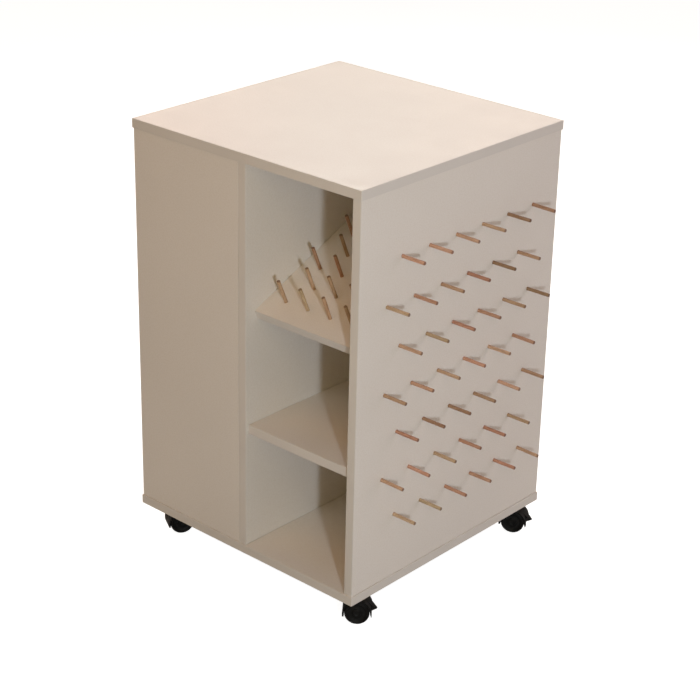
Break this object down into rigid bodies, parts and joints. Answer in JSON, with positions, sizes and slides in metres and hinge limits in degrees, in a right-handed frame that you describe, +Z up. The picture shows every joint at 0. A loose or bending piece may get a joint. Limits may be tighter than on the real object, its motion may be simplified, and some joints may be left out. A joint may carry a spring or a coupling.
{
  "type": "sewing table",
  "caption": "Square rolling cabinet table with spool pegs on one side, a slanted spool shelf over open compartments, shelved side bays and braked twin-wheel castors.",
  "frame": {"origin": "centre of the whole footprint, side pegs included, at floor level; the cabinet's own centre is 21.5 mm towards -X from it", "axes": "+Z up; -Y is the front with the open spool bay; +X is the side with the thread pegs"},
  "size_m": [0.543, 0.5, 0.7665],
  "materials": {
    "melamine": "satin white melamine on particle board",
    "edge_tape": "satin edge tape",
    "peg_wood": "plain sanded hardwood dowel",
    "castor_nylon": "moulded black nylon",
    "wheel_nylon": "moulded black nylon wheel",
    "zinc_steel": "zinc-plated steel"
  },
  "bodies": {
    "cabinet": {"top_board": "melamine", "top_edge_band": "edge_tape", "bottom_board": "melamine", "bottom_edge_band": "edge_tape", "right_peg_panel": "melamine", "centre_divider": "melamine", "cross_wall": "melamine", "front_left_panel": "melamine", "back_left_panel": "melamine", "front_bay_shelf": "melamine", "spool_shelf": "melamine", "back_bay_shelf_lower": "melamine", "back_bay_shelf_upper": "melamine", "left_bay_shelf_lower": "melamine", "left_bay_shelf_upper": "melamine", "spool_peg_01": "peg_wood", "spool_peg_02": "peg_wood", "spool_peg_03": "peg_wood", "spool_peg_04": "peg_wood", "spool_peg_05": "peg_wood", "spool_peg_06": "peg_wood", "spool_peg_07": "peg_wood", "spool_peg_08": "peg_wood", "spool_peg_09": "peg_wood", "spool_peg_10": "peg_wood", "spool_peg_11": "peg_wood", "spool_peg_12": "peg_wood", "spool_peg_13": "peg_wood", "spool_peg_14": "peg_wood", "spool_peg_15": "peg_wood", "spool_peg_16": "peg_wood", "spool_peg_17": "peg_wood", "spool_peg_18": "peg_wood", "front_right_castor_plate": "zinc_steel", "back_right_castor_plate": "zinc_steel", "front_left_castor_plate": "zinc_steel", "back_left_castor_plate": "zinc_steel"},
    "front_right_swivel": {"front_right_castor_hood": "castor_nylon", "front_right_axle": "zinc_steel"},
    "front_right_wheel_a": {"front_right_wheel_a": "wheel_nylon"},
    "front_right_wheel_b": {"front_right_wheel_b": "wheel_nylon"},
    "front_right_brake": {"front_right_brake_lever": "castor_nylon"},
    "back_right_swivel": {"back_right_castor_hood": "castor_nylon", "back_right_axle": "zinc_steel"},
    "back_right_wheel_a": {"back_right_wheel_a": "wheel_nylon"},
    "back_right_wheel_b": {"back_right_wheel_b": "wheel_nylon"},
    "back_right_brake": {"back_right_brake_lever": "castor_nylon"},
    "front_left_swivel": {"front_left_castor_hood": "castor_nylon", "front_left_axle": "zinc_steel"},
    "front_left_wheel_a": {"front_left_wheel_a": "wheel_nylon"},
    "front_left_wheel_b": {"front_left_wheel_b": "wheel_nylon"},
    "front_left_brake": {"front_left_brake_lever": "castor_nylon"},
    "back_left_swivel": {"back_left_castor_hood": "castor_nylon", "back_left_axle": "zinc_steel"},
    "back_left_wheel_a": {"back_left_wheel_a": "wheel_nylon"},
    "back_left_wheel_b": {"back_left_wheel_b": "wheel_nylon"},
    "back_left_brake": {"back_left_brake_lever": "castor_nylon"}
  },
  "joints": [
    {"name": "front_right_swivel", "type": "hinge", "parent": "cabinet", "child": "front_right_swivel", "pos_m": [0.1905, -0.212, 0.0465], "axis": [0, 0, 1], "continuous": true},
    {"name": "front_right_wheel_a_spin", "type": "hinge", "parent": "front_right_swivel", "child": "front_right_wheel_a", "pos_m": [0.20099, -0.2035, 0.021], "axis": [-0.6293, 0.7771, 0], "continuous": true},
    {"name": "front_right_wheel_b_spin", "type": "hinge", "parent": "front_right_swivel", "child": "front_right_wheel_b", "pos_m": [0.20099, -0.2035, 0.021], "axis": [-0.6293, 0.7771, 0], "continuous": true},
    {"name": "front_right_brake_lever", "type": "hinge", "parent": "front_right_swivel", "child": "front_right_brake", "pos_m": [0.21901, -0.18891, 0.02635], "axis": [-0.6293, 0.7771, 0], "range_deg": [0, 20]},
    {"name": "back_right_swivel", "type": "hinge", "parent": "cabinet", "child": "back_right_swivel", "pos_m": [0.1905, 0.212, 0.0465], "axis": [0, 0, 1], "continuous": true},
    {"name": "back_right_wheel_a_spin", "type": "hinge", "parent": "back_right_swivel", "child": "back_right_wheel_a", "pos_m": [0.20253, 0.21813, 0.021], "axis": [-0.454, 0.891, 0], "continuous": true},
    {"name": "back_right_wheel_b_spin", "type": "hinge", "parent": "back_right_swivel", "child": "back_right_wheel_b", "pos_m": [0.20253, 0.21813, 0.021], "axis": [-0.454, 0.891, 0], "continuous": true},
    {"name": "back_right_brake_lever", "type": "hinge", "parent": "back_right_swivel", "child": "back_right_brake", "pos_m": [0.22319, 0.22866, 0.02635], "axis": [-0.454, 0.891, 0], "range_deg": [0, 20]},
    {"name": "front_left_swivel", "type": "hinge", "parent": "cabinet", "child": "front_left_swivel", "pos_m": [-0.2335, -0.212, 0.0465], "axis": [0, 0, 1], "continuous": true},
    {"name": "front_left_wheel_a_spin", "type": "hinge", "parent": "front_left_swivel", "child": "front_left_wheel_a", "pos_m": [-0.22675, -0.20031, 0.021], "axis": [-0.866, 0.5, 0], "continuous": true},
    {"name": "front_left_wheel_b_spin", "type": "hinge", "parent": "front_left_swivel", "child": "front_left_wheel_b", "pos_m": [-0.22675, -0.20031, 0.021], "axis": [-0.866, 0.5, 0], "continuous": true},
    {"name": "front_left_brake_lever", "type": "hinge", "parent": "front_left_swivel", "child": "front_left_brake", "pos_m": [-0.21516, -0.18023, 0.02635], "axis": [-0.866, 0.5, 0], "range_deg": [0, 20]},
    {"name": "back_left_swivel", "type": "hinge", "parent": "cabinet", "child": "back_left_swivel", "pos_m": [-0.2335, 0.212, 0.0465], "axis": [0, 0, 1], "continuous": true},
    {"name": "back_left_wheel_a_spin", "type": "hinge", "parent": "back_left_swivel", "child": "back_left_wheel_a", "pos_m": [-0.22218, 0.21935, 0.021], "axis": [-0.5446, 0.8387, 0], "continuous": true},
    {"name": "back_left_wheel_b_spin", "type": "hinge", "parent": "back_left_swivel", "child": "back_left_wheel_b", "pos_m": [-0.22218, 0.21935, 0.021], "axis": [-0.5446, 0.8387, 0], "continuous": true},
    {"name": "back_left_brake_lever", "type": "hinge", "parent": "back_left_swivel", "child": "back_left_brake", "pos_m": [-0.20273, 0.23198, 0.02635], "axis": [-0.5446, 0.8387, 0], "range_deg": [0, 20]}
  ]
}
